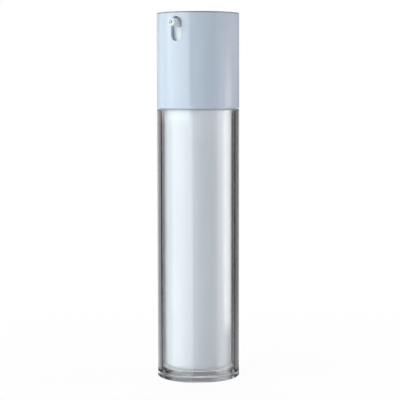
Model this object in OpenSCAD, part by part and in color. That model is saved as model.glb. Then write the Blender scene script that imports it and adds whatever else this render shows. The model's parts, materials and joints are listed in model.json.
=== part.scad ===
// Airless pump bottle: a clear outer case, a white inner bottle with a follower piston,
// and a swivelling head whose button drives a dosing pump. The nozzle points to -Y and
// the base stands on z = 0. All sizes are in millimetres.

/* [Overall] */
// Outer diameter of the case and of the sleeve
body_d = 35; // [29:0.5:42]
// Length of the clear tube
tube_len = 112; // [80:1:140]
// Height of the sleeve around the button
sleeve_len = 40.25; // [38:0.25:50]
// Travel of the button
stroke = 5.2; // [4:0.1:6.5]

/* [Clear case] */
// Wall of the clear tube
tube_wall = 2; // [1.6:0.1:2.4]
// Height of the base plug's visible flange
plug_flange_h = 2.5; // [1.5:0.1:4]
// Height of the base plug's spigot inside the tube
plug_spigot_h = 2.2; // [1.5:0.1:4]
// Rounding on the outer edges of the case
case_edge_r = 0.35; // [0.1:0.05:0.8]
// Diameter of the vent holes in the base plug
vent_d = 1.6; // [1:0.1:2.5]
// Distance of the vent holes from the axis
vent_offset = 6; // [4:0.5:8]
// Width of the step in the tube's mouth that holds the collar
rebate_w = 0.8; // [0.5:0.1:1]
// Depth of that step
rebate_h = 0.5; // [0.4:0.1:1]

/* [Inner bottle] */
// Air gap between the tube and the inner bottle
air_gap = 1.5; // [1:0.1:2]
// Wall of the inner bottle
bottle_wall = 1; // [0.8:0.1:1.3]
// Floor of the inner bottle
bottle_floor = 1.2; // [1:0.1:2]
// Outer corner radius at the foot of the inner bottle
bottle_corner_r = 1.6; // [1.2:0.1:3]
// Diameter of the air hole in the floor
air_hole_d = 2; // [1:0.1:4]
// Overhang of the support ring and of the lip
lip_overhang = 0.45; // [0.3:0.05:0.6]
// Height of the support ring
support_ring_h = 0.5; // [0.4:0.1:1]
// Height of the waist between the ring and the lip
waist_h = 1.4; // [1.2:0.1:2]
// Height of the lip
lip_h = 1.2; // [0.8:0.1:2]
// Height of the follower piston
follower_h = 9; // [6:0.5:14]
// Wall of the follower piston
follower_wall = 1.2; // [0.9:0.1:1.6]

/* [Collar and closure] */
// Height of the collar above the tube
collar_h = 3; // [2.8:0.1:5]
// Depth of the collar's snap groove
groove_depth = 0.45; // [0.3:0.05:0.5]
// Width of the collar's snap groove
groove_w = 1.2; // [1:0.1:1.4]
// Thickness of the bottle gasket
gasket_t = 0.8; // [0.5:0.1:1.5]
// Thickness of the closure's top plate
closure_t = 1.2; // [1:0.1:2]

/* [Pump] */
// Bore of the dosing chamber
chamber_d = 11; // [9:0.2:12]
// Wall of the dosing chamber
chamber_wall = 1; // [0.8:0.1:1.3]
// Depth of the pump housing below the bottle's lip
plug_depth = 8.6; // [7:0.1:12]
// Wall of the housing's plug
plug_wall = 0.9; // [0.8:0.1:1.3]
// Thickness of the housing's flange
flange_t = 1.2; // [0.8:0.1:2]
// Thickness of the housing's web
web_t = 1; // [0.8:0.1:1.4]
// Thickness of the chamber's floor
chamber_floor = 1.8; // [1.5:0.1:2.5]
// Diameter of the inlet ball
ball_d = 3; // [2.6:0.1:3.4]
// Diameter of the inlet hole
inlet_d = 1.8; // [1.2:0.1:2]
// Lift of the inlet ball
ball_lift = 0.8; // [0.4:0.1:1.2]
// Outer diameter of the stem
stem_d = 5; // [4.4:0.1:5.4]
// Bore of the stem
stem_bore = 3; // [2.4:0.1:3.4]
// Height of the piston seal
seal_h = 4; // [3:0.1:5]
// Travel of the stem before it carries the piston seal along
lost_motion = 0.7; // [0.4:0.1:1]
// Diameter of the flow ports in the stem
port_d = 0.9; // [0.6:0.1:1]
// Wire of the return spring
wire_d = 0.8; // [0.6:0.1:1]
// Turns of the return spring
spring_turns = 7; // [5:1:8]

/* [Button and nozzle] */
// Recess of the button's top below the sleeve's rim
button_recess = 0.4; // [0.2:0.1:2]
// Thickness of the button's top
button_top_t = 1.6; // [1.3:0.1:2]
// Wall of the button's skirt
skirt_wall = 1.3; // [1:0.1:1.6]
// Length of the button's skirt below the nozzle's axis
skirt_drop = 11.5; // [9:0.5:14]
// Depth of the finger dish in the button's top
dish_depth = 0.6; // [0.3:0.1:1]
// Distance of the nozzle's axis below the sleeve's rim
nozzle_drop = 4.5; // [4:0.1:6]
// Reach of the nozzle beyond the sleeve
nozzle_reach = 3.9; // [3:0.1:6]
// Diameter of the nozzle at its tip
nozzle_tip_d = 3.2; // [2.6:0.1:3.4]
// Diameter of the nozzle at the button's skirt
nozzle_root_d = 3.8; // [3.4:0.1:4.2]
// Bore of the nozzle
nozzle_bore = 1.9; // [1.2:0.1:2.2]
// Depth of the nozzle's mouth, which has the bore's diameter
mouth_depth = 0.5; // [0.3:0.1:1]
// Diameter of the orifice behind the mouth
orifice_d = 0.8; // [0.5:0.1:1.1]
// Length of the orifice
orifice_len = 0.8; // [0.5:0.1:1.2]

/* [Sleeve] */
// Whole wall of the sleeve with its liner
sleeve_wall = 2; // [1.7:0.1:2.4]
// Wall of the sleeve's liner
liner_wall = 0.75; // [0.6:0.05:0.9]
// Height of the rim that covers the liner's top
rim_h = 1; // [0.8:0.1:1.3]
// Width of the nozzle's slot
slot_w = 5; // [4.6:0.1:5.6]
// Rounding on the rim's outer edge
rim_edge_r = 0.6; // [0.3:0.1:1]
// Rounding on the sleeve's lower outer edge
hem_edge_r = 0.5; // [0.2:0.1:0.8]

/* [Clearances] */
// Gap of a glued or snapped joint
bond_gap = 0.05; // [0.03:0.01:0.1]
// Gap under the inner bottle's foot
foot_gap = 0.1; // [0.05:0.05:0.3]
// Gap between the tube's rim and the sleeve
swivel_gap = 0.2; // [0.1:0.05:0.5]
// Radial gap between the collar and the liner
collar_gap = 0.3; // [0.2:0.05:0.4]
// Radial gap between the button and the liner
button_gap = 0.2; // [0.1:0.05:0.4]
// Radial gap of a sliding seal or a guided stem
running_gap = 0.03; // [0.02:0.01:0.08]
// Gap left where a moving piece ends its travel
end_gap = 0.3; // [0.2:0.05:0.5]

/* [Hidden] */
$fn = 96;
// Overlap of cutting tools past the faces that they cut
slack = 1;

white_shell = [0.81, 0.85, 0.90];
white_bottle = [0.90, 0.92, 0.94];
clear_case = [0.82, 0.88, 0.90, 0.35];
natural_plastic = [0.88, 0.88, 0.85];
soft_plastic = [0.74, 0.82, 0.88];
steel = [0.62, 0.63, 0.65];

// Radii from the outside in
body_r = body_d / 2;
tube_ir = body_r - tube_wall;
bottle_r = tube_ir - air_gap;
bore_r = bottle_r - bottle_wall;
lip_r = bottle_r + lip_overhang;
sleeve_ir = body_r - sleeve_wall;
liner_r = sleeve_ir + liner_wall;
collar_r = sleeve_ir - collar_gap;
groove_r = collar_r - groove_depth;
bead_r = collar_r - groove_depth / 2;
button_r = sleeve_ir - button_gap;
skirt_ir = button_r - skirt_wall;

// Walls, steps and thicknesses of the small moulded pieces
seal_hub_wall = 0.9;
shoulder_step = 0.6;
shoulder_t = 0.9;
tip_inset = 1.5;
tip_t = 1;
guide_gap = 0.3;
guide_wall = 0.75;
guide_t = 1;
wiper_gap = 0.4;
wiper_t = 1;
cage_roof_t = 0.7;
spring_space = 0.9;
spring_rim_w = 0.8;
hub_wall = 1.6;

// Radii of the pump
chamber_r = chamber_d / 2;
chamber_or = chamber_r + chamber_wall;
plug_r = bore_r - bond_gap;
stem_r = stem_d / 2;
stem_hole_r = stem_r + running_gap;
seal_hub_r = stem_hole_r + seal_hub_wall;
shoulder_r = stem_r + shoulder_step;
tip_r = chamber_r - tip_inset;
guide_ir = seal_hub_r + guide_gap;
guide_or = chamber_or + bond_gap + guide_wall;
spring_r = guide_or + spring_space + wire_d / 2;
core_flange_r = spring_r + wire_d / 2 + spring_rim_w;
hub_r = stem_r + hub_wall;

// Levels of the case and the inner bottle
plug_top = plug_flange_h + plug_spigot_h;
tube_z0 = plug_flange_h + bond_gap;
tube_z1 = tube_z0 + tube_len;
bottle_z0 = plug_top + foot_gap;
floor_z = bottle_z0 + bottle_floor;
collar_top = tube_z1 + collar_h;
groove_z = tube_z1 + collar_h / 2 + 0.25;
ring_top = collar_top + support_ring_h;
lip_z0 = ring_top + waist_h;
bottle_top = lip_z0 + lip_h;
follower_z0 = floor_z + end_gap;

// Levels of the pump
flange_z0 = bottle_top + gasket_t;
flange_z1 = flange_z0 + flange_t;
closure_top = flange_z1 + closure_t;
housing_z0 = bottle_top - plug_depth;
seat_land = 0.6;
seat_gap = 0.02;
ball_r = ball_d / 2;
ball_z = housing_z0 + seat_land - inlet_d / 2 + sqrt(2) * (ball_r + seat_gap);
pocket_gap = 0.25;
pocket_r = ball_r + pocket_gap;
cage_z0 = housing_z0 + chamber_floor;
cage_ceiling = ball_z + ball_r + ball_lift + bond_gap;
cage_top = cage_ceiling + cage_roof_t;
tip_z0 = cage_top + end_gap + stroke;
tip_z1 = tip_z0 + tip_t;
seal_z0 = tip_z1 + bond_gap;
seal_z1 = seal_z0 + seal_h;
shoulder_z0 = seal_z1 + lost_motion + bond_gap;
shoulder_z1 = shoulder_z0 + shoulder_t;
wiper_z0 = shoulder_z1 + wiper_gap;
turret_top = wiper_z0 + wiper_t;
guide_top = turret_top + guide_t;

// Levels of the head
sleeve_z0 = tube_z1 + swivel_gap;
sleeve_z1 = sleeve_z0 + sleeve_len;
button_z1 = sleeve_z1 - button_recess;
button_under = button_z1 - button_top_t;
nozzle_z = sleeve_z1 - nozzle_drop;
skirt_z0 = nozzle_z - skirt_drop;
hub_z0 = guide_top + stroke + end_gap;
socket_depth = 6;
stem_top = hub_z0 + socket_depth;
spring_seat_drop = 8.65;
core_seat_z = nozzle_z - spring_seat_drop;
boss_r = 2.45;
boss_gap = 0.6;
boss_end = skirt_ir - boss_gap;
shank_r = 1.5;
shank_len = 7;
nozzle_tip_y = -(body_r + nozzle_reach);

// Cuts the corner at (x, y) of a profile to a rounding; sx and sy point into the profile
module corner_cut(x, y, rad, sx, sy) {
    translate([x, y])
        mirror([sx < 0 ? 1 : 0, 0])
            mirror([0, sy < 0 ? 1 : 0])
                difference() {
                    translate([-slack, -slack]) square(rad + slack);
                    translate([rad, rad]) circle(rad);
                }
}

// One rectangle of a profile, from radius r0 to r1 and from height z0 to z1
module band(r0, r1, z0, z1) {
    translate([r0, z0]) square([r1 - r0, z1 - z0]);
}

// A ring with flat ends
module ring(r0, r1, z0, z1) {
    rotate_extrude() band(r0, r1, z0, z1);
}

// A cylinder that lies along -Y, from y0 out to y1 (both counted as distances from the axis)
module outward(r0, r1, y0, y1, z) {
    translate([0, -y0, z]) rotate([90, 0, 0]) cylinder(r1 = r0, r2 = r1, h = y1 - y0);
}

// The slot that the nozzle travels in, as a cutter through one wall
module slot_cut(grow) {
    half_w = slot_w / 2 + grow;
    for (z = [nozzle_z, nozzle_z - stroke]) outward(half_w, half_w, body_r / 2, body_r + slack, z);
    translate([-half_w, -body_r - slack, nozzle_z - stroke])
        cube([2 * half_w, body_r / 2 + slack, stroke]);
}

module base_plug() {
    spigot_r = tube_ir - bond_gap;
    color(clear_case)
        difference() {
            rotate_extrude()
                difference() {
                    union() {
                        band(0, body_r, 0, plug_flange_h);
                        band(0, spigot_r, plug_flange_h, plug_top);
                    }
                    corner_cut(body_r, 0, case_edge_r, -1, 1);
                    corner_cut(body_r, plug_flange_h, case_edge_r, -1, -1);
                    corner_cut(spigot_r, plug_top, case_edge_r, -1, -1);
                }
            for (side = [-1, 1])
                translate([side * vent_offset, 0, -slack])
                    cylinder(d = vent_d, h = plug_top + 2 * slack);
        }
}

module outer_tube() {
    color(clear_case)
        rotate_extrude()
            difference() {
                band(tube_ir, body_r, tube_z0, tube_z1);
                band(0, tube_ir + rebate_w, tube_z1 - rebate_h, tube_z1 + slack);
                corner_cut(body_r, tube_z0, case_edge_r, -1, 1);
                corner_cut(body_r, tube_z1, case_edge_r / 2, -1, -1);
            }
}

module inner_bottle() {
    inner_corner_r = 0.6;
    push_up_h = 0.4;
    push_up_r = bottle_r - bottle_corner_r - 1;
    color(white_bottle)
        rotate_extrude()
            difference() {
                union() {
                    difference() {
                        band(0, bottle_r, bottle_z0, bottle_top);
                        corner_cut(bottle_r, bottle_z0, bottle_corner_r, -1, 1);
                    }
                    band(bore_r, lip_r, collar_top, ring_top);
                    band(bore_r, lip_r, lip_z0, bottle_top);
                }
                difference() {
                    band(0, bore_r, floor_z, bottle_top + slack);
                    corner_cut(bore_r, floor_z, inner_corner_r, -1, 1);
                }
                band(0, push_up_r, bottle_z0 - slack, bottle_z0 + push_up_h);
                band(0, air_hole_d / 2, bottle_z0 - slack, floor_z + slack);
            }
}

module follower_piston() {
    lip_w = 0.7;
    lip_len = 2;
    seal_r = bore_r - running_gap;
    top_z = follower_z0 + follower_h;
    color(soft_plastic)
        rotate_extrude()
            difference() {
                band(0, seal_r, follower_z0, top_z);
                band(0, seal_r - follower_wall - lip_w, follower_z0 - slack, top_z - follower_wall);
                band(seal_r - lip_w, seal_r + slack, follower_z0 + lip_len, top_z - lip_len);
                corner_cut(seal_r, follower_z0, lip_w, -1, 1);
                corner_cut(seal_r, top_z, lip_w / 2, -1, -1);
            }
}

module shoulder_collar() {
    color(natural_plastic)
        rotate_extrude()
            difference() {
                union() {
                    band(bottle_r + bond_gap, tube_ir + rebate_w - bond_gap,
                        tube_z1 - rebate_h, tube_z1 - bond_gap);
                    band(bottle_r + bond_gap, collar_r, tube_z1 - rebate_h, collar_top);
                }
                band(groove_r, collar_r + slack / 2, groove_z - groove_w / 2, groove_z + groove_w / 2);
                corner_cut(collar_r, collar_top, groove_depth / 2, -1, -1);
            }
}

module bottle_gasket() {
    color(soft_plastic) ring(bore_r + bond_gap, lip_r, bottle_top, flange_z0);
}

// One-piece housing: flange, plug, web, dosing chamber with its turret, and the ball's seat
module pump_housing() {
    color(natural_plastic)
        rotate_extrude()
            difference() {
                union() {
                    band(plug_r - plug_wall, lip_r, flange_z0, flange_z1);
                    band(plug_r - plug_wall, plug_r, housing_z0, flange_z1);
                    band(0, plug_r, housing_z0, housing_z0 + web_t);
                    band(0, chamber_or, housing_z0, turret_top);
                }
                band(0, chamber_r, cage_z0, turret_top + slack);
                band(0, inlet_d / 2, housing_z0 - slack, cage_z0);
                polygon([
                    [0, housing_z0 + seat_land],
                    [inlet_d / 2, housing_z0 + seat_land],
                    [pocket_r, housing_z0 + seat_land + pocket_r - inlet_d / 2],
                    [pocket_r, cage_z0 + slack],
                    [0, cage_z0 + slack],
                ]);
                corner_cut(plug_r, housing_z0, plug_wall / 2, -1, 1);
            }
}

// Snap-on ring that clamps the housing's flange and the gasket to the bottle's lip
module pump_closure() {
    skirt_z = ring_top + 2 * bond_gap;
    color(natural_plastic)
        rotate_extrude()
            difference() {
                union() {
                    band(lip_r + bond_gap, collar_r, skirt_z, closure_top);
                    band(bottle_r + 2 * bond_gap, collar_r, skirt_z, lip_z0 - 2 * bond_gap);
                    band(chamber_or + 2 * bond_gap, collar_r, flange_z1, closure_top);
                }
                corner_cut(collar_r, closure_top, closure_t / 2, -1, -1);
            }
}

// Cage over the inlet ball, with windows for the flow
module ball_cage() {
    ball_play = 0.4;
    cage_wall = 0.8;
    foot_t = 0.8;
    window_w = 1.2;
    cage_ir = ball_r + ball_play;
    cage_or = cage_ir + cage_wall;
    window_z = cage_z0 + 1.1;
    color(natural_plastic)
        difference() {
            rotate_extrude()
                difference() {
                    union() {
                        band(cage_ir, chamber_r - bond_gap, cage_z0, cage_z0 + foot_t);
                        band(0, cage_or, cage_z0, cage_top);
                    }
                    band(0, cage_ir, cage_z0 - slack, cage_ceiling);
                }
            for (turn = [0, 60, 120])
                rotate(turn)
                    translate([-cage_or - slack, -window_w / 2, window_z])
                        cube([2 * (cage_or + slack), window_w, cage_ceiling - window_z]);
        }
}

module valve_ball() {
    color(steel) translate([0, 0, ball_z]) sphere(ball_r);
}

// Sliding seal: a hub on the stem and a skirt with a lip at each end
module piston_seal() {
    wiping_r = chamber_r - running_gap;
    relief = 0.3;
    relief_margin = 0.8;
    skirt_t = 0.8;
    disc_t = 1;
    disc_z0 = (seal_z0 + seal_z1 - disc_t) / 2;
    color(soft_plastic)
        rotate_extrude()
            difference() {
                union() {
                    band(stem_hole_r, seal_hub_r, seal_z0, seal_z1);
                    band(stem_hole_r, wiping_r, disc_z0, disc_z0 + disc_t);
                    band(wiping_r - skirt_t, wiping_r, seal_z0, seal_z1);
                }
                band(wiping_r - relief, wiping_r + slack, seal_z0 + relief_margin,
                    seal_z1 - relief_margin);
            }
}

module stem() {
    port_rise = 0.75;
    port_z = tip_z1 + port_rise;
    color(natural_plastic)
        difference() {
            union() {
                ring(stem_bore / 2, stem_r, tip_z1, stem_top);
                ring(stem_bore / 2, shoulder_r, shoulder_z0, shoulder_z1);
            }
            for (turn = [0, 90])
                translate([0, 0, port_z])
                    rotate([90, 0, turn])
                        cylinder(d = port_d, h = stem_d + 2 * slack, center = true);
        }
}

// Foot of the stem: a flange that the seal closes on, and a pin with a flow channel on each side
module stem_tip() {
    pin_r = stem_bore / 2 - bond_gap;
    pin_h = 3.5;
    channel = 0.55;
    color(natural_plastic) {
        cylinder_at(tip_r, tip_z0, tip_z1);
        difference() {
            cylinder_at(pin_r, tip_z1, tip_z1 + pin_h);
            for (side = [-1, 1])
                translate([side * (2 * pin_r - channel), 0, tip_z1 + pin_h / 2])
                    cube([2 * pin_r, 2 * pin_r + slack, pin_h + slack], center = true);
        }
    }
}

module cylinder_at(r, z0, z1) {
    translate([0, 0, z0]) cylinder(r = r, h = z1 - z0);
}

// Cap of the turret: it guides the stem, holds the wiper and stops the seal
module stem_guide() {
    cap_skirt_h = 3.5;
    color(natural_plastic)
        rotate_extrude() {
            band(chamber_or + bond_gap, guide_or, turret_top - cap_skirt_h, guide_top);
            band(stem_hole_r, guide_or, turret_top, guide_top);
            band(guide_ir, chamber_r - bond_gap, seal_z1 + 2 * bond_gap, guide_top);
        }
}

module stem_wiper() {
    color(soft_plastic) ring(stem_hole_r, guide_ir - bond_gap, wiper_z0, turret_top);
}

// Points of the spring wire: a closed turn at each end and an even pitch between
function spring_z(turn, low, high) =
    turn < 1 ? low + turn * wire_d :
    turn > spring_turns - 1 ? high - (spring_turns - turn) * wire_d :
    low + wire_d + (turn - 1) * (high - low - 2 * wire_d) / (spring_turns - 2);

module return_spring() {
    sides = 8;
    steps = 24;
    rings = spring_turns * steps;
    low = closure_top + wire_d / 2 + bond_gap;
    high = core_seat_z - wire_d / 2 - bond_gap;
    points = [
        for (i = [0 : rings], k = [0 : sides - 1])
            let (
                around = 360 * i / steps,
                across = 360 * k / sides,
                r = spring_r + wire_d / 2 * cos(across)
            )
            [r * cos(around), r * sin(around),
                spring_z(i / steps, low, high) + wire_d / 2 * sin(across)]
    ];
    walls = [
        for (i = [0 : rings - 1], k = [0 : sides - 1])
            let (next = (k + 1) % sides)
            [i * sides + k, i * sides + next, (i + 1) * sides + next, (i + 1) * sides + k]
    ];
    ends = [
        [for (k = [sides - 1 : -1 : 0]) k],
        [for (k = [0 : sides - 1]) rings * sides + k],
    ];
    color(steel) polyhedron(points, concat(walls, ends));
}

// Hub on the stem, spring seat, flow channel and socket for the nozzle
module button_core() {
    channel_r = nozzle_bore / 2;
    plate_r = 8;
    plate_t = 1;
    rim_w = spring_rim_w - 0.1;
    rim_drop = 1.2;
    core_top = button_under - bond_gap;
    seat_top = core_seat_z + plate_t;
    color(natural_plastic)
        difference() {
            union() {
                cylinder_at(hub_r, hub_z0, core_top);
                cylinder_at(plate_r, core_top - plate_t, core_top);
                cylinder_at(core_flange_r, core_seat_z, seat_top);
                ring(core_flange_r - rim_w, core_flange_r, core_seat_z - rim_drop, seat_top);
                outward(boss_r, boss_r, 0, boss_end, nozzle_z);
            }
            cylinder_at(stem_r + seat_gap, hub_z0 - slack, stem_top + bond_gap);
            cylinder_at(channel_r, hub_z0, nozzle_z);
            outward(channel_r, channel_r, 0, boss_end, nozzle_z);
            outward(shank_r + seat_gap, shank_r + seat_gap, boss_end - shank_len,
                boss_end + slack, nozzle_z);
        }
}

// The visible push button: a dished top and a skirt that closes the slot from behind
module button_cap() {
    dish_r = button_r * 0.8;
    dish_ball_r = (dish_r * dish_r + dish_depth * dish_depth) / (2 * dish_depth);
    rib_r = 8.05;
    rib_wall = 0.9;
    rib_h = 1.6;
    top_edge_r = 0.5;
    hole_r = nozzle_root_d / 2 + 2 * bond_gap;
    color(white_bottle)
        difference() {
            rotate_extrude() {
                difference() {
                    union() {
                        band(0, button_r, button_under, button_z1);
                        band(skirt_ir, button_r, skirt_z0, button_z1);
                    }
                    corner_cut(button_r, button_z1, top_edge_r, -1, -1);
                    corner_cut(button_r, skirt_z0, top_edge_r / 2, -1, 1);
                }
                band(rib_r, rib_r + rib_wall, button_under - rib_h, button_under);
            }
            translate([0, 0, button_z1 - dish_depth + dish_ball_r]) sphere(dish_ball_r, $fn = 200);
            outward(hole_r, hole_r, boss_end, body_r, nozzle_z);
            translate([-boss_r - bond_gap, -rib_r - rib_wall - slack, button_under - rib_h - slack])
                cube([2 * (boss_r + bond_gap), rib_wall + 2 * slack, rib_h + slack]);
        }
}

module nozzle() {
    root_y = button_r - 0.4;
    tip_edge_r = 0.35;
    tip_y = -nozzle_tip_y;
    mouth_y = tip_y - mouth_depth;
    orifice_y = mouth_y - orifice_len;
    root_r = nozzle_root_d / 2;
    tip_r_out = nozzle_tip_d / 2;
    color(white_bottle)
        translate([0, 0, nozzle_z])
            rotate([90, 0, 0])
                rotate_extrude()
                    difference() {
                        union() {
                            band(0, shank_r, boss_end - shank_len, root_y);
                            difference() {
                                polygon([
                                    [0, root_y],
                                    [root_r, root_y],
                                    [tip_r_out, tip_y],
                                    [0, tip_y],
                                ]);
                                corner_cut(tip_r_out, tip_y, tip_edge_r, -1, -1);
                            }
                        }
                        band(0, nozzle_bore / 2, mouth_y, tip_y + slack);
                        band(0, orifice_d / 2, orifice_y - slack, mouth_y + slack);
                        band(0, nozzle_bore / 2, boss_end - shank_len - slack, orifice_y);
                    }
}

module sleeve() {
    color(white_shell)
        difference() {
            rotate_extrude()
                difference() {
                    band(sleeve_ir, body_r, sleeve_z0, sleeve_z1);
                    band(0, liner_r + bond_gap, sleeve_z0 - slack, sleeve_z1 - rim_h);
                    corner_cut(body_r, sleeve_z1, rim_edge_r, -1, -1);
                    corner_cut(sleeve_ir, sleeve_z1, rim_edge_r / 2, 1, -1);
                    corner_cut(body_r, sleeve_z0, hem_edge_r, -1, 1);
                }
            slot_cut(0);
        }
}

// Liner with the snap bead that holds the head on the collar and lets it turn
module sleeve_liner() {
    bead_gap = 0.15;
    bead_root_r = sleeve_ir + liner_wall / 2;
    bead_half = groove_w / 2 - bead_gap;
    color(natural_plastic)
        difference() {
            rotate_extrude() {
                band(sleeve_ir, liner_r, sleeve_z0 + bond_gap, sleeve_z1 - rim_h - bond_gap);
                polygon([
                    [bead_r, groove_z - bead_half / 2],
                    [bead_root_r, groove_z - bead_half],
                    [bead_root_r, groove_z + bead_half],
                    [bead_r, groove_z + bead_half / 2],
                ]);
            }
            slot_cut(bond_gap);
        }
}

base_plug();
outer_tube();
inner_bottle();
follower_piston();
shoulder_collar();
bottle_gasket();
pump_housing();
pump_closure();
ball_cage();
valve_ball();
piston_seal();
stem();
stem_tip();
stem_guide();
stem_wiper();
return_spring();
button_core();
button_cap();
nozzle();
sleeve();
sleeve_liner();
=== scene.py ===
"""Airless pump bottle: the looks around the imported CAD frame, with its camera and studio.

Lengths are in metres. The nozzle points to -Y, and the base stands on z = 0.
"""
import json
import math

import bpy
from mathutils import Matrix, Vector


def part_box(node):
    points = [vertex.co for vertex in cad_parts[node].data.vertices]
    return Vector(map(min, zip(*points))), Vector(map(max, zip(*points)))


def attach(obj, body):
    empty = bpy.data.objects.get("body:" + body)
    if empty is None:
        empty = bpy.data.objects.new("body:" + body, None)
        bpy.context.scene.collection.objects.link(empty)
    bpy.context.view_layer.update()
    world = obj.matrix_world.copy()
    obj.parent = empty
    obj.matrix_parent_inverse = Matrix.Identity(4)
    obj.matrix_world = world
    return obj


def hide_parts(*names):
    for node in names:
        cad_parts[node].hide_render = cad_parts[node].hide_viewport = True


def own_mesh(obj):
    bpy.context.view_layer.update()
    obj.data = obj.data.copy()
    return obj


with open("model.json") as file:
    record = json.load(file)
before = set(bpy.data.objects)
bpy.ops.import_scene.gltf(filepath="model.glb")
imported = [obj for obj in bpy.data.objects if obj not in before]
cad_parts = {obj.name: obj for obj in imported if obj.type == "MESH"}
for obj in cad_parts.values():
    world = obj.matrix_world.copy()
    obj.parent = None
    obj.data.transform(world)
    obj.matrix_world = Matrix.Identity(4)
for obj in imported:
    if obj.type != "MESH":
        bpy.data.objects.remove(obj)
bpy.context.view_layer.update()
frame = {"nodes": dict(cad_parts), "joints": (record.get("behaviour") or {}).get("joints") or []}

MM = 0.001

# How finely the turned pieces are divided: around the axis, in a rounding and beside an opening
SEGMENTS = 384
ARC_STEPS = 6
SLOT_COLUMNS = 12
SLOT_ROWS = 36
# Rings between the border of the patch around an opening and the opening itself, as shares of the way
PATCH_RINGS = (0.3, 0.6, 0.85)
# A wall is upright where its normals point to the side by more than this
UPRIGHT = 0.999


# Outlines and turned meshes

def corner(r, z, rounding):
    """A corner of an outline, and the radius that rounds it."""
    return (r, z, rounding)


def rounded(corners):
    """Outline points (r, z, normal r, normal z) through corners that have the solid on their left."""
    points = []
    for i, (r, z, rounding) in enumerate(corners):
        here = Vector((r, z))
        back = Vector(corners[i - 1][:2]) - here
        ahead = Vector(corners[(i + 1) % len(corners)][:2]) - here
        before = Vector((-back.y, back.x)).normalized()
        after = Vector((ahead.y, -ahead.x)).normalized()
        if r == 0:
            on_axis = after if abs(after.x) < abs(before.x) else before
            points.append((0, z, 0, on_axis.y))
            continue
        bend = math.atan2(before.x * after.y - before.y * after.x, before.dot(after))
        side = 1 if bend > 0 else -1
        centre = here - side * rounding * (before + after) / (1 + before.dot(after))
        for k in range(ARC_STEPS + 1):
            angle = bend * k / ARC_STEPS
            normal = Vector((before.x * math.cos(angle) - before.y * math.sin(angle),
                             before.x * math.sin(angle) + before.y * math.cos(angle)))
            point = centre + side * rounding * normal
            points.append((point.x, point.y, normal.x, normal.y))
    return points


class Mesh:
    """Vertices with their own normals, and faces, gathered before they become an object."""

    def __init__(self):
        self.points, self.normals, self.faces = [], [], []

    def add(self, point, normal):
        self.points.append(Vector(point))
        self.normals.append(Vector(normal).normalized())
        return len(self.points) - 1

    def strip(self, ring_a, ring_b, skip=()):
        """Joins two closed rings of vertices without the faces in skip; a ring of one vertex is a pole."""
        count = max(len(ring_a), len(ring_b))
        for j in range(count):
            if j in skip:
                continue
            k = (j + 1) % count
            face = [ring_a[j % len(ring_a)], ring_a[k % len(ring_a)],
                    ring_b[k % len(ring_b)], ring_b[j % len(ring_b)]]
            self.faces.append(list(dict.fromkeys(face)))

    def build(self, name, material):
        data = bpy.data.meshes.new(name)
        data.from_pydata(self.points, [], self.faces)
        data.validate()
        data.shade_smooth()
        data.normals_split_custom_set_from_vertices(self.normals)
        data.materials.append(material)
        piece = bpy.data.objects.new(name, data)
        bpy.context.scene.collection.objects.link(piece)
        return piece


def ring(mesh, r, z, nr, nz):
    """One ring of vertices about Z, which starts at -Y and turns towards +X."""
    if r == 0:
        return [mesh.add((0, 0, z), (0, 0, nz))]
    made = []
    for j in range(SEGMENTS):
        turn = 2 * math.pi * j / SEGMENTS
        out = Vector((math.sin(turn), -math.cos(turn), 0))
        made.append(mesh.add(out * r + Vector((0, 0, z)), out * nr + Vector((0, 0, nz))))
    return made


def turned(name, outline, material):
    """A solid of revolution about Z."""
    mesh = Mesh()
    rings = [ring(mesh, *point) for point in outline]
    for i, made in enumerate(rings):
        following = rings[(i + 1) % len(rings)]
        two_poles = len(made) + len(following) == 2
        if not two_poles:
            mesh.strip(made, following)
    return mesh.build(name, material)


def with_rows(outline, levels):
    """Adds points at these levels to the outer and the inner wall, and returns their first indices."""
    made, first = [], {}
    for i, (r, z, nr, nz) in enumerate(outline):
        made.append((r, z, nr, nz))
        z_next, nr_next = outline[(i + 1) % len(outline)][1:3]
        wall = abs(nr) > UPRIGHT and abs(nr_next) > UPRIGHT
        if wall and min(z, z_next) < levels[0] and max(z, z_next) > levels[-1]:
            first["outer" if nr > 0 else "inner"] = len(made)
            for level in (levels if nr > 0 else levels[::-1]):
                made.append((r, level, nr, 0))
    return made, first


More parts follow.
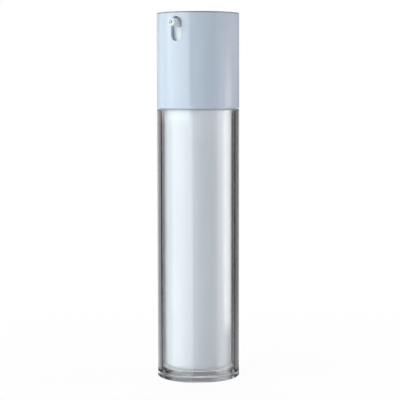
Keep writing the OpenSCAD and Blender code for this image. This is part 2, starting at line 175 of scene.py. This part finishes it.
def pierced(name, outline, material, half_w, z_low, z_high, margin, edge):
    """A turned shell with a round-ended opening in its -Y side, from the centre z_low to z_high."""
    step = (z_high - z_low + 2 * (half_w + margin)) / SLOT_ROWS
    levels = [z_low - half_w - margin + step * i for i in range(SLOT_ROWS + 1)]
    outline, first = with_rows(outline, levels)
    mesh = Mesh()
    rings = [ring(mesh, *point) for point in outline]
    width = SLOT_COLUMNS
    gone = [j % SEGMENTS for j in range(-width, width)]
    for i, made in enumerate(rings):
        inside = any(start <= i < start + SLOT_ROWS for start in first.values())
        mesh.strip(made, rings[(i + 1) % len(rings)], skip=gone if inside else ())

    # The border of the patch as (column, row), counted clockwise from below left as seen from inside
    border = [(c, 0) for c in range(-width, width)]
    border += [(width, k) for k in range(SLOT_ROWS)]
    border += [(c, SLOT_ROWS) for c in range(width, -width, -1)]
    border += [(-width, k) for k in range(SLOT_ROWS, 0, -1)]
    r_out = outline[first["outer"]][0]
    r_in = outline[first["inner"]][0]

    def on_wall(r, x, z, inset, normal_part, opening_part, away):
        """A point on the wall of radius r, or set into the shell by inset, with its blended normal."""
        facing = 1 if r == r_out else -1
        depth = math.sqrt(r * r - x * x)
        surface = Vector((x / r, -depth / r, 0)) * facing
        opening = Vector((-away.x, 0, -away.y))
        return mesh.add((x, -depth + facing * inset, z), surface * normal_part + opening * opening_part)

    def patch(r, row_of):
        """Rings from the patch's border to the opening's wall."""
        start = [rings[row_of(k)][c % SEGMENTS] for c, k in border]
        made = [start]
        aims = []
        for c, k in border:
            x = r_out * math.sin(2 * math.pi * c / SEGMENTS)
            z = levels[k]
            centre = Vector((0, min(max(z, z_low), z_high)))
            away = (Vector((x, z)) - centre).normalized()
            aims.append((centre + away * half_w, away))
        for share in PATCH_RINGS:
            row = []
            for index, (aim, away) in zip(start, aims):
                rim = aim + away * edge
                x = mesh.points[index].x * (1 - share) + rim.x * share
                z = mesh.points[index].z * (1 - share) + rim.y * share
                row.append(on_wall(r, x, z, 0, 1, 0, away))
            made.append(row)
        for i in range(ARC_STEPS + 1):
            angle = math.pi / 2 * i / ARC_STEPS
            normal_part, opening_part = math.cos(angle), math.sin(angle)
            inset = edge * (1 - normal_part)
            row = []
            for aim, away in aims:
                spot = aim + away * edge * (1 - opening_part)
                row.append(on_wall(r, spot.x, spot.y, inset, normal_part, opening_part, away))
            made.append(row)
        return made

    outer = patch(r_out, lambda k: first["outer"] + k)
    inner = patch(r_in, lambda k: first["inner"] + SLOT_ROWS - k)
    chain = outer + inner[::-1]
    for here, following in zip(chain, chain[1:]):
        mesh.strip(here, following)
    return mesh.build(name, material)


# Node trees and materials

class Graph:
    """Short ways to add nodes to self.tree."""

    def node(self, kind, **settings):
        made = self.tree.nodes.new(kind)
        for key, value in settings.items():
            setattr(made, key, value)
        return made

    def link(self, a, b):
        self.tree.links.new(a, b)

    def math(self, operation, *values):
        """The result of a math node on these sockets or numbers."""
        made = self.node("ShaderNodeMath", operation=operation)
        for socket, value in zip(made.inputs, values):
            if isinstance(value, (int, float)):
                socket.default_value = value
            else:
                self.link(value, socket)
        return made.outputs["Value"]

    def length(self, vector):
        made = self.node("ShaderNodeVectorMath", operation="LENGTH")
        self.link(vector, made.inputs[0])
        return made.outputs["Value"]

    def blend(self, share, first, second):
        """One shader where share is 0, and another one where it is 1."""
        made = self.node("ShaderNodeMixShader")
        for socket, source in zip(made.inputs, (share, first, second)):
            self.link(source, socket)
        return made.outputs[0]


class Shader(Graph):
    """A node material that grows from one Principled node."""

    def __init__(self, name, colour, roughness, ior=1.5):
        self.material = bpy.data.materials.new(name)
        self.material.use_nodes = True
        self.tree = self.material.node_tree
        self.principled = self.tree.nodes["Principled BSDF"]
        self.set("Base Color", (*colour, 1))
        self.set("Roughness", roughness)
        self.set("IOR", ior)
        self.colour, self.roughness = colour, roughness
        self.place = self.node("ShaderNodeTexCoord").outputs["Object"]

    def set(self, socket, value):
        self.principled.inputs[socket].default_value = value

    def show(self, surface):
        """Shows this surface in place of the Principled node's own."""
        self.link(surface, self.tree.nodes["Material Output"].inputs["Surface"])

    def noise(self, per_metre, detail, stretch=(1, 1, 1)):
        """Noise with features of about one over per_metre."""
        mapping = self.node("ShaderNodeMapping")
        mapping.inputs["Scale"].default_value = stretch
        texture = self.node("ShaderNodeTexNoise")
        texture.inputs["Scale"].default_value = per_metre
        texture.inputs["Detail"].default_value = detail
        self.link(self.place, mapping.inputs["Vector"])
        self.link(mapping.outputs["Vector"], texture.inputs["Vector"])
        return texture.outputs["Fac"]

    def ranged(self, source, low, high, start=0.3, end=0.7):
        """Maps source from start..end to low..high; the usual start and end are those of a noise."""
        made = self.node("ShaderNodeMapRange")
        made.inputs["From Min"].default_value = start
        made.inputs["From Max"].default_value = end
        made.inputs["To Min"].default_value = low
        made.inputs["To Max"].default_value = high
        self.link(source, made.inputs["Value"])
        return made.outputs["Result"]

    def cover(self, source, other):
        """Blends the colour so far towards another one by source."""
        mix = self.node("ShaderNodeMix", data_type="RGBA")
        below = self.principled.inputs["Base Color"]
        colours = [socket for socket in mix.inputs if socket.type == "RGBA"]
        colours[0].default_value = (*self.colour, 1)
        colours[1].default_value = (*other, 1)
        if below.links:
            self.link(below.links[0].from_socket, colours[0])
        self.link(source, mix.inputs["Factor"])
        made = [socket for socket in mix.outputs if socket.type == "RGBA"]
        self.link(made[0], below)

    def vary_roughness(self, source, spread):
        low, high = self.roughness - spread, self.roughness + spread
        self.link(self.ranged(source, low, high), self.principled.inputs["Roughness"])

    def bump(self, source, depth):
        """Raises the surface by up to depth, in metres."""
        made = self.node("ShaderNodeBump")
        made.inputs["Strength"].default_value = 1
        made.inputs["Distance"].default_value = depth
        self.link(source, made.inputs["Height"])
        self.link(made.outputs["Normal"], self.principled.inputs["Normal"])


# Moulded plastic: the size, stretch and colour of its flow marks, its uneven gloss and its grain
FLOW_PER_METRE = 90
FLOW_STRETCH = (1, 1, 0.35)
FLOW_SHADE = 0.97
GLOSS_PER_METRE = 260
GLOSS_SPREAD = 0.12
GRAIN = 0.4 * MM
GRAIN_DEPTH = 0.0006 * MM


def moulded(name, colour, roughness, depth):
    """Moulded plastic that light enters to a depth, with faint flow marks, uneven gloss and a fine grain."""
    shader = Shader(name, colour, roughness)
    shader.set("Subsurface Weight", 1.0)
    shader.set("Subsurface Radius", (1.0, 1.0, 1.0))
    shader.set("Subsurface Scale", depth)
    flow = shader.noise(FLOW_PER_METRE, detail=3, stretch=FLOW_STRETCH)
    shader.cover(shader.ranged(flow, 0, 1), tuple(c * FLOW_SHADE for c in colour))
    shader.vary_roughness(shader.noise(GLOSS_PER_METRE, detail=3), roughness * GLOSS_SPREAD)
    shader.bump(shader.noise(1 / GRAIN, detail=2), GRAIN_DEPTH)
    return shader


def clear_acrylic():
    """Polished clear acrylic with the faintest unevenness of a moulded wall.

    Light on its way to a surface behind the wall goes straight through, weakened a little at each face.
    """
    shader = Shader("clear_acrylic", colour=(0.985, 0.995, 1.0), roughness=0.012, ior=1.49)
    shader.set("Transmission Weight", 1.0)
    shader.vary_roughness(shader.noise(per_metre=300, detail=2), spread=0.006)
    shader.bump(shader.noise(per_metre=120, detail=1, stretch=(1, 1, 0.1)), depth=0.00005 * MM)
    through = shader.node("ShaderNodeBsdfTransparent")
    through.inputs["Color"].default_value = (0.95, 0.955, 0.96, 1)
    path = shader.node("ShaderNodeLightPath").outputs
    shown = shader.principled.outputs[0]
    for ray in ("Is Shadow Ray", "Is Diffuse Ray"):
        shown = shader.blend(path[ray], shown, through.outputs[0])
    shader.show(shown)
    return shader.material


def steel_wire():
    """Drawn spring steel, with fine lines along the wire."""
    shader = Shader("steel_wire", colour=(0.56, 0.57, 0.59), roughness=0.28)
    shader.set("Metallic", 1.0)
    lines = shader.noise(per_metre=1800, detail=3, stretch=(1, 1, 8))
    shader.cover(shader.ranged(lines, 0, 1), (0.42, 0.43, 0.45))
    shader.vary_roughness(lines, spread=0.08)
    shader.bump(lines, depth=0.004 * MM)
    return shader.material


# The rounding of the sleeve's rim, and the grey line of painted shade on it, which stands in for the shade
# on the rounding: where the line begins and where it is full, below the top and in from the side, as shares
# of the rounding
RIM_EDGE = 0.6 * MM
SHADE_LINE_BELOW_TOP = (1, 0.85)
SHADE_LINE_FROM_SIDE = (1.1, 0.95)


def sleeve_plastic_with_painted_rim_shade():
    """The sleeve's cool white, with a fine grey line of painted shade along the rounded edge of its rim."""
    shader = moulded("white_shell", (0.625, 0.68, 0.765), 0.12, 0.4 * MM)
    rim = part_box("sleeve")[1]
    split = shader.node("ShaderNodeSeparateXYZ")
    shader.link(shader.place, split.inputs["Vector"])
    high = shader.ranged(split.outputs["Z"], 0, 1, *(rim.z - share * RIM_EDGE for share in SHADE_LINE_BELOW_TOP))
    flat = shader.node("ShaderNodeVectorMath", operation="MULTIPLY")
    flat.inputs[1].default_value = (1, 1, 0)
    shader.link(shader.place, flat.inputs[0])
    radius = shader.length(flat.outputs["Vector"])
    rim_shade_outside = shader.ranged(radius, 0, 1, *(rim.x - share * RIM_EDGE for share in SHADE_LINE_FROM_SIDE))
    # Painted shade: the grey darkens the rim's rounding, where the lamps leave too little shade of their own
    shader.cover(shader.math("MULTIPLY", high, rim_shade_outside), (0.23, 0.25, 0.28))
    return shader.material


WHITE_SHELL = sleeve_plastic_with_painted_rim_shade()
WHITE_BOTTLE = moulded("white_bottle", (0.85, 0.865, 0.885), 0.16, 0.2 * MM).material
WHITE_BUTTON = moulded("white_button", (0.80, 0.825, 0.845), 0.14, 0.4 * MM).material
NATURAL_PP = moulded("natural_pp", (0.74, 0.75, 0.74), 0.34, 0.6 * MM).material
SOFT_PE = moulded("soft_pe", (0.56, 0.66, 0.74), 0.42, 0.6 * MM).material
CLEAR = clear_acrylic()
STEEL = steel_wire()


# Pieces that stand for CAD nodes

# The gap between glued or snapped pieces, the rounding of edges that are nearly sharp, and that of the
# clear pieces' outer edges
BOND_GAP = 0.05 * MM
SMALL = 0.12 * MM
CLEAR_EDGE = 0.35 * MM

TUBE_WALL = 2 * MM
SLEEVE_WALL = 2 * MM
SLOT_HALF_W = 2.5 * MM
# From the slot's edge to the border of the patch around it
SLOT_MARGIN = 0.6 * MM

NOZZLE_Z = sum(p.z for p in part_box("nozzle")) / 2
TRAVEL = [j for j in frame["joints"] if j["name"] == "button_press"][0]["range_m"][1]


def place(piece, body, node):
    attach(piece, body)
    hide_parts(node)


def node_levels(node):
    """Radius, lowest and highest level of a turned node."""
    low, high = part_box(node)
    return high.x, low.z, high.z


def base_plug():
    flange_r, z0, z1 = node_levels("base_plug")
    tube_z0 = node_levels("outer_tube")[1]
    flange_z = tube_z0 - BOND_GAP
    spigot_r = flange_r - (TUBE_WALL + BOND_GAP)
    outline = rounded([
        corner(0, z0, 0),
        corner(flange_r, z0, CLEAR_EDGE),
        corner(flange_r, flange_z, CLEAR_EDGE),
        corner(spigot_r, flange_z, SMALL),
        corner(spigot_r, z1, CLEAR_EDGE),
        corner(0, z1, 0),
    ])
    place(turned("base_plug_clear", outline, CLEAR), "bottle", "base_plug")


def outer_tube():
    r, z0, z1 = node_levels("outer_tube")
    inner = r - TUBE_WALL
    rebate_w = 0.8 * MM
    rebate_z = node_levels("shoulder_collar")[1]
    outline = rounded([
        corner(inner, z0, SMALL),
        corner(r, z0, CLEAR_EDGE),
        corner(r, z1, CLEAR_EDGE / 2),
        corner(inner + rebate_w, z1, SMALL),
        corner(inner + rebate_w, rebate_z, SMALL),
        corner(inner, rebate_z, SMALL),
    ])
    place(turned("outer_tube_clear", outline, CLEAR), "bottle", "outer_tube")


def inner_bottle():
    """The white bottle, with a ring above the collar and a lip at its mouth."""
    wall = 1 * MM
    lip_overhang = 0.45 * MM
    lip_h = 1.2 * MM
    ring_h = 0.5 * MM
    foot_edge = 1.6 * MM
    floor_h = 1.2 * MM
    floor_edge = 0.6 * MM
    push_up_h = 0.4 * MM
    hole_r = 1 * MM
    lip_r, z0, z1 = node_levels("inner_bottle")
    r = lip_r - lip_overhang
    bore = r - wall
    floor_z = z0 + floor_h
    push_up_r = r - foot_edge - wall
    collar_top = node_levels("shoulder_collar")[2]
    ring_top = collar_top + ring_h
    lip_z = z1 - lip_h
    outline = rounded([
        corner(hole_r, z0 + push_up_h, SMALL),
        corner(push_up_r, z0 + push_up_h, SMALL),
        corner(push_up_r, z0, SMALL),
        corner(r, z0, foot_edge),
        corner(r, collar_top, SMALL),
        corner(lip_r, collar_top, SMALL),
        corner(lip_r, ring_top, SMALL),
        corner(r, ring_top, SMALL),
        corner(r, lip_z, SMALL),
        corner(lip_r, lip_z, SMALL),
        corner(lip_r, z1, SMALL),
        corner(bore, z1, SMALL),
        corner(bore, floor_z, floor_edge),
        corner(hole_r, floor_z, SMALL),
    ])
    piece = turned("inner_bottle_white", outline, WHITE_BOTTLE)
    place(piece, "bottle", "inner_bottle")


def sleeve():
    """The outer shell of the head, with a lower shoulder inside its rim."""
    foot_edge = 0.5 * MM
    rim_inner_edge = 0.3 * MM
    rim_h = 1 * MM
    slot_edge = 0.2 * MM
    r, z0, z1 = node_levels("sleeve")
    rim_r = r - SLEEVE_WALL
    rim_z = z1 - rim_h
    bore = node_levels("sleeve_liner")[0] + BOND_GAP
    outline = rounded([
        corner(bore, z0, SMALL),
        corner(r, z0, foot_edge),
        corner(r, z1, RIM_EDGE),
        corner(rim_r, z1, rim_inner_edge),
        corner(rim_r, rim_z, SMALL),
        corner(bore, rim_z, SMALL),
    ])
    piece = pierced("sleeve_shell", outline, WHITE_SHELL, half_w=SLOT_HALF_W, z_low=NOZZLE_Z - TRAVEL,
                    z_high=NOZZLE_Z, margin=SLOT_MARGIN, edge=slot_edge)
    place(piece, "head", "sleeve")


def sleeve_liner():
    """The ring inside the sleeve, with a slightly wider slot."""
    wall = 0.75 * MM
    slot_edge = 0.08 * MM
    r, z0, z1 = node_levels("sleeve_liner")
    bore = r - wall
    outline = rounded([
        corner(bore, z0, SMALL),
        corner(r, z0, SMALL),
        corner(r, z1, SMALL),
        corner(bore, z1, SMALL),
    ])
    piece = pierced("sleeve_liner_ring", outline, WHITE_SHELL, half_w=SLOT_HALF_W + BOND_GAP,
                    z_low=NOZZLE_Z - TRAVEL, z_high=NOZZLE_Z, margin=SLOT_MARGIN - BOND_GAP, edge=slot_edge)
    place(piece, "head", "sleeve_liner")


def button_cap():
    """The push button, with a dished top and a hole for the nozzle in its skirt."""
    skirt_wall = 1.3 * MM
    top_wall = 1.6 * MM
    foot_edge = 0.25 * MM
    top_edge = 0.5 * MM
    dish_share = 0.8
    dish_depth = 0.6 * MM
    dish_steps = 24
    hole_r = 1.93 * MM
    hole_margin = 0.35 * MM
    hole_edge = 0.03 * MM
    r, z0, z1 = node_levels("button_cap")
    skirt = r - skirt_wall
    under = z1 - top_wall
    dish_r = dish_share * r
    outline = rounded([
        corner(0, under, 0),
        corner(skirt, under, SMALL),
        corner(skirt, z0, foot_edge),
        corner(r, z0, foot_edge),
        corner(r, z1, top_edge),
        corner(0, z1, 0),
    ])[:-1]
    for i in range(dish_steps + 1):
        radius = dish_r * (1 - i / dish_steps)
        share = (radius / dish_r) ** 2
        slope = 4 * dish_depth * radius / dish_r ** 2 * (1 - share)
        outline.append((radius, z1 - dish_depth * (1 - share) ** 2, -slope, 1))
    piece = pierced("button_cap_white", outline, WHITE_BUTTON, half_w=hole_r, z_low=NOZZLE_Z,
                    z_high=NOZZLE_Z, margin=hole_margin, edge=hole_edge)
    place(piece, "button", "button_cap")


def nozzle():
    """The nozzle, turned about Z and laid along -Y, with a stepped outlet and a wide root at the button."""
    tip_r = 1.6 * MM
    shank_r = 1.5 * MM
    bore_r = 0.95 * MM
    orifice_r = 0.4 * MM
    mouth_depth = 0.5 * MM
    orifice_len = 0.8 * MM
    root_depth = 0.4 * MM
    tip_edge = 0.35 * MM
    rim_edge = 0.2 * MM
    mouth_edge = 0.1 * MM
    low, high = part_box("nozzle")
    root_r, tip_y, shank_y = high.x, -low.y, -high.y
    root_y = node_levels("button_cap")[0] - root_depth
    mouth_y = tip_y - mouth_depth
    channel_y = mouth_y - orifice_len
    outline = rounded([
        corner(bore_r, shank_y, SMALL),
        corner(shank_r, shank_y, SMALL),
        corner(shank_r, root_y, SMALL),
        corner(root_r, root_y, SMALL),
        corner(tip_r, tip_y, tip_edge),
        corner(bore_r, tip_y, rim_edge),
        corner(bore_r, mouth_y, mouth_edge),
        corner(orifice_r, mouth_y, mouth_edge),
        corner(orifice_r, channel_y, SMALL),
        corner(bore_r, channel_y, SMALL),
    ])
    piece = turned("nozzle_tip", outline, WHITE_BUTTON)
    piece.matrix_world = Matrix.Translation((0, 0, NOZZLE_Z)) @ Matrix.Rotation(math.pi / 2, 4, "X")
    place(piece, "button", "nozzle")


def return_spring():
    """A round wire on a helix, with a closed turn at each end."""
    wire_r = 0.4 * MM
    turns = 7
    per_turn = 64
    sides = 20
    outer_r, z0, z1 = node_levels("return_spring")
    coil_r = outer_r - wire_r
    low, high = z0 + wire_r, z1 - wire_r
    rise = (high - low - 4 * wire_r) / (turns - 2)

    def level(turn):
        if turn < 1:
            return low + turn * 2 * wire_r
        if turn > turns - 1:
            return high - (turns - turn) * 2 * wire_r
        return low + 2 * wire_r + (turn - 1) * rise

    mesh = Mesh()
    rings = []
    for i in range(turns * per_turn + 1):
        turn = i / per_turn
        out = Vector((math.cos(2 * math.pi * turn), math.sin(2 * math.pi * turn), 0))
        row = []
        for k in range(sides):
            across = 2 * math.pi * k / sides
            normal = out * math.cos(across) + Vector((0, 0, math.sin(across)))
            row.append(mesh.add(out * coil_r + Vector((0, 0, level(turn))) + normal * wire_r, normal))
        rings.append(row)
    for here, following in zip(rings, rings[1:]):
        mesh.strip(following, here)
    mesh.faces += [rings[0], rings[-1][::-1]]
    piece = mesh.build("return_spring_wire", STEEL)
    place(piece, "bottle", "return_spring")
    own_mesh(piece)


CAD_FINISHES = {
    "follower_piston": SOFT_PE,
    "bottle_gasket": SOFT_PE,
    "piston_seal": SOFT_PE,
    "stem_wiper": SOFT_PE,
    "shoulder_collar": NATURAL_PP,
    "pump_housing": NATURAL_PP,
    "pump_closure": NATURAL_PP,
    "ball_cage": NATURAL_PP,
    "stem": NATURAL_PP,
    "stem_tip": NATURAL_PP,
    "stem_guide": NATURAL_PP,
    "button_core": NATURAL_PP,
    "valve_ball": STEEL,
}


def finish_cad_nodes():
    for node, material in CAD_FINISHES.items():
        data = frame["nodes"][node].data
        data.materials.clear()
        data.materials.append(material)


# Camera and studio

CAMERA_AZIMUTH = math.radians(31.06)
CAMERA_DISTANCE = 567.9 * MM
CAMERA_HEIGHT = 125.07 * MM
CAMERA_ASIDE = 0.7625 * MM
CAMERA_PITCH = math.radians(4.975)
CAMERA_ROLL = math.radians(-0.10)
CAMERA_NEAR = 10 * MM
# Focal length and sensor width, which Blender takes in millimetres
CAMERA_LENS = 119.84
CAMERA_SENSOR = 36


def camera():
    lens = bpy.data.cameras.new("camera")
    lens.lens = CAMERA_LENS
    lens.sensor_width = CAMERA_SENSOR
    lens.clip_start = CAMERA_NEAR
    seen = bpy.data.objects.new("camera", lens)
    bpy.context.scene.collection.objects.link(seen)
    right = Vector((math.cos(CAMERA_AZIMUTH), math.sin(CAMERA_AZIMUTH), 0))
    back = Vector((math.sin(CAMERA_AZIMUTH), -math.cos(CAMERA_AZIMUTH), 0))
    spot = back * CAMERA_DISTANCE + right * CAMERA_ASIDE + Vector((0, 0, CAMERA_HEIGHT))
    seen.matrix_world = (Matrix.Translation(spot)
                         @ Matrix.Rotation(CAMERA_AZIMUTH, 4, "Z")
                         @ Matrix.Rotation(math.pi / 2 - CAMERA_PITCH, 4, "X")
                         @ Matrix.Rotation(CAMERA_ROLL, 4, "Z"))
    bpy.context.scene.camera = seen


# Lights as soft windows of the surroundings: azimuth from straight behind the object, positive to the
# right, half width and soft edge, then elevation, half height and soft edge, all in degrees, and colour
STUDIO = {
    "left_low": (-131.5, 31.5, 2, -8.2, 6.8, 1, (1.13, 1.16, 1.16)),
    "left_key": (-121, 34.5, 1.5, 24.3, 25, 1.2, (2.7, 2.9, 2.95)),
    "left_side": (-66, 19, 3, 24.3, 25, 1.2, (0.7, 0.75, 0.7)),
    "behind_left": (-32, 5, 3, -3.5, 10, 3, (0.33, 0.33, 0.33)),
    "behind_right": (33, 4, 3, -3.5, 10, 3, (0.27, 0.27, 0.28)),
    "right_side": (68, 18, 8, 8, 8, 1.5, (0.55, 0.55, 0.58)),
    "right_strip": (86, 9.5, 8, -5, 5, 1, (2.3, 2.3, 2.35)),
    "right_key": (84, 12, 12, 34, 24, 6, (2.5, 2.45, 2.5)),
    "right_softbox": (102, 10, 21, -11, 11, 5, (1.25, 1.25, 1.2)),
    "rear": (0, 40, 15, 44, 16, 6, (2.1, 2.2, 2.3)),
    "ceiling": (0, 180, 1, 90, 22, 10, (0.3, 0.3, 0.3)),
    "front": (148, 34, 22, 2, 3, 2, (0.6, 0.65, 0.75)),
    "behind": (-2, 28, 12, 9.5, 8.5, 2, (0.26, 0.26, 0.27)),
    "below": (0, 180, 1, -66, 30, 6, (0.55, 0.55, 0.56)),
}
# The white backdrop, as mirroring and clear surfaces show it, and its strength there
BACKDROP = (-3, 0, 27, -3.5, 8.5, 0.5)
BACKDROP_SHARE = 0.95


class World(Graph):
    """The studio as a function of direction, with a white background.

    The camera sees white everywhere, and glossy and clear surfaces see it as far as the backdrop reaches.
    """

    def __init__(self):
        world = bpy.data.worlds.new("studio")
        world.use_nodes = True
        bpy.context.scene.world = world
        self.tree = world.node_tree
        self.tree.nodes.clear()
        turn = self.node("ShaderNodeVectorRotate", rotation_type="Z_AXIS")
        turn.inputs["Angle"].default_value = -CAMERA_AZIMUTH
        self.link(self.node("ShaderNodeTexCoord").outputs["Generated"], turn.inputs["Vector"])
        split = self.node("ShaderNodeSeparateXYZ")
        self.link(turn.outputs["Vector"], split.inputs["Vector"])
        self.azimuth = self.math("ARCTAN2", split.outputs["X"], split.outputs["Y"])
        self.elevation = self.math("ARCSINE", split.outputs["Z"])

    def window(self, angle, centre, half, soft):
        """1 within half of centre, falling to 0 over soft."""
        off = self.math("SUBTRACT", angle, math.radians(centre))
        away = self.math("ABSOLUTE", self.math("WRAP", off, -math.pi, math.pi))
        made = self.node("ShaderNodeMapRange", interpolation_type="SMOOTHSTEP")
        made.inputs["From Min"].default_value = math.radians(half)
        made.inputs["From Max"].default_value = math.radians(half + soft)
        made.inputs["To Min"].default_value = 1
        made.inputs["To Max"].default_value = 0
        self.link(away, made.inputs["Value"])
        return made.outputs["Result"]

    def panel(self, azimuth, half, soft, elevation, high, high_soft):
        return self.math("MULTIPLY", self.window(self.azimuth, azimuth, half, soft),
                         self.window(self.elevation, elevation, high, high_soft))

    def sum_of(self, lights):
        """The panels' colours, added up."""
        total = None
        for *place_in_sky, colour in lights.values():
            scaled = self.node("ShaderNodeVectorMath", operation="SCALE")
            scaled.inputs[0].default_value = colour
            self.link(self.panel(*place_in_sky), scaled.inputs["Scale"])
            if total is None:
                total = scaled.outputs["Vector"]
                continue
            both = self.node("ShaderNodeVectorMath", operation="ADD")
            self.link(total, both.inputs[0])
            self.link(scaled.outputs["Vector"], both.inputs[1])
            total = both.outputs["Vector"]
        return total

    def build(self, lights, backdrop, backdrop_share):
        lit = self.node("ShaderNodeBackground")
        self.link(self.sum_of(lights), lit.inputs["Color"])
        white = self.node("ShaderNodeBackground")
        white.inputs["Color"].default_value = (1, 1, 1, 1)
        path = self.node("ShaderNodeLightPath").outputs
        mirrored = self.math("MAXIMUM", path["Is Glossy Ray"], path["Is Transmission Ray"])
        mirrored = self.math("MULTIPLY", mirrored, self.panel(*backdrop))
        mirrored = self.math("MULTIPLY", mirrored, backdrop_share)
        share = self.math("MAXIMUM", path["Is Camera Ray"], mirrored)
        shown = self.blend(share, lit.outputs[0], white.outputs[0])
        self.link(shown, self.node("ShaderNodeOutputWorld").inputs["Surface"])


# The floor: its radius, how clear it is at the foot and far out, and between which radii that changes
FLOOR_R = 0.7
FLOOR_CLEAR = (0.92, 1)
FLOOR_FADE = (0.03, 0.25)


def floor():
    """A pale round floor that lets the white surroundings through and keeps the object's shadow."""
    bpy.ops.mesh.primitive_circle_add(vertices=128, radius=FLOOR_R, fill_type="NGON")
    disc = bpy.context.object
    disc.name = "floor"
    shader = Shader("pale_floor", (0.86, 0.86, 0.86), 0.9)
    path = shader.node("ShaderNodeLightPath").outputs
    seen = path["Is Camera Ray"]
    for ray in ("Is Glossy Ray", "Is Transmission Ray"):
        seen = shader.math("MAXIMUM", seen, path[ray])
    fade = shader.ranged(shader.length(shader.place), *FLOOR_CLEAR, *FLOOR_FADE)
    clear = shader.node("ShaderNodeBsdfTransparent")
    share = shader.math("MULTIPLY", seen, fade)
    shader.show(shader.blend(share, shader.principled.outputs[0], clear.outputs[0]))
    disc.data.materials.append(shader.material)


bpy.context.scene.view_settings.view_transform = "Standard"
camera()
World().build(STUDIO, BACKDROP, BACKDROP_SHARE)
floor()
base_plug()
outer_tube()
inner_bottle()
sleeve()
sleeve_liner()
button_cap()
nozzle()
return_spring()
finish_cad_nodes()
